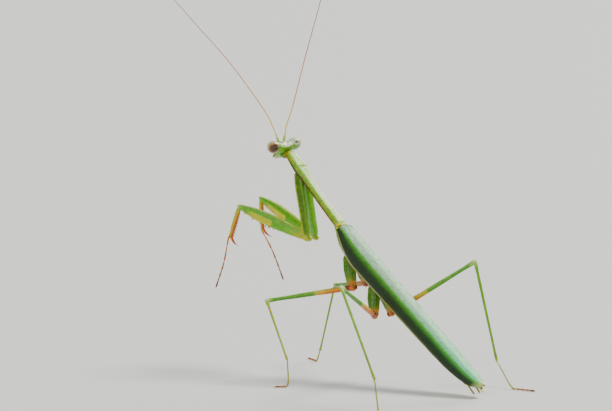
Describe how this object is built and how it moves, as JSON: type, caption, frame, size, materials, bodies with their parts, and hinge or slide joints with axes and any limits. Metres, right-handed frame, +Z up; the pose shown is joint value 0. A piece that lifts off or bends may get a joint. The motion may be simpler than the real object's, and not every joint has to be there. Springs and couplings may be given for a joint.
{
  "type": "praying mantis",
  "caption": "Life-size still model of a slender green praying mantis, standing on its walking legs with its body reared up and its spined forelegs raised.",
  "frame": {"origin": "centre, in plan, of the box that holds the whole animal, at floor level, where the feet stand", "axes": "-Y is the way the mantis faces, +X is its left side, +Z is up; the antennae and hind feet make Y the longer of the two floor axes"},
  "size_m": [0.0502, 0.0886, 0.0913],
  "materials": {
    "body": "waxy leaf-green cuticle",
    "wing": "leathery green forewing, finely veined",
    "hindwing": "folded yellowish membrane",
    "eye": "tan compound eye with a dark spot",
    "feeler": "orange-brown feeler",
    "trochanter": "glossy orange leg joint",
    "foot": "amber to brown foot"
  },
  "bodies": {
    "root": {"abdomen": "body", "antenna_L": "feeler", "antenna_R": "feeler", "cercus_L": "foot", "cercus_R": "foot", "eye_L": "eye", "eye_R": "eye", "fore_coxa_L": "body", "fore_coxa_R": "body", "fore_femur_L": "body", "fore_femur_R": "body", "fore_tarsus_L": "foot", "fore_tarsus_R": "foot", "fore_tibia_L": "body", "fore_tibia_R": "body", "fore_trochanter_L": "body", "fore_trochanter_R": "body", "forewing_L": "wing", "forewing_R": "wing", "head": "body", "hind_L_coxa": "body", "hind_L_femur": "body", "hind_L_tarsus": "foot", "hind_L_tibia": "body", "hind_L_trochanter": "trochanter", "hind_R_coxa": "body", "hind_R_femur": "body", "hind_R_tarsus": "foot", "hind_R_tibia": "body", "hind_R_trochanter": "trochanter", "hindwings": "hindwing", "mid_L_coxa": "body", "mid_L_femur": "body", "mid_L_tarsus": "foot", "mid_L_tibia": "body", "mid_L_trochanter": "trochanter", "mid_R_coxa": "body", "mid_R_femur": "body", "mid_R_tarsus": "foot", "mid_R_tibia": "body", "mid_R_trochanter": "trochanter", "mouth": "body", "neck": "body", "palp_L": "body", "palp_R": "body", "prothorax": "body", "thorax": "body"}
  },
  "joints": []
}
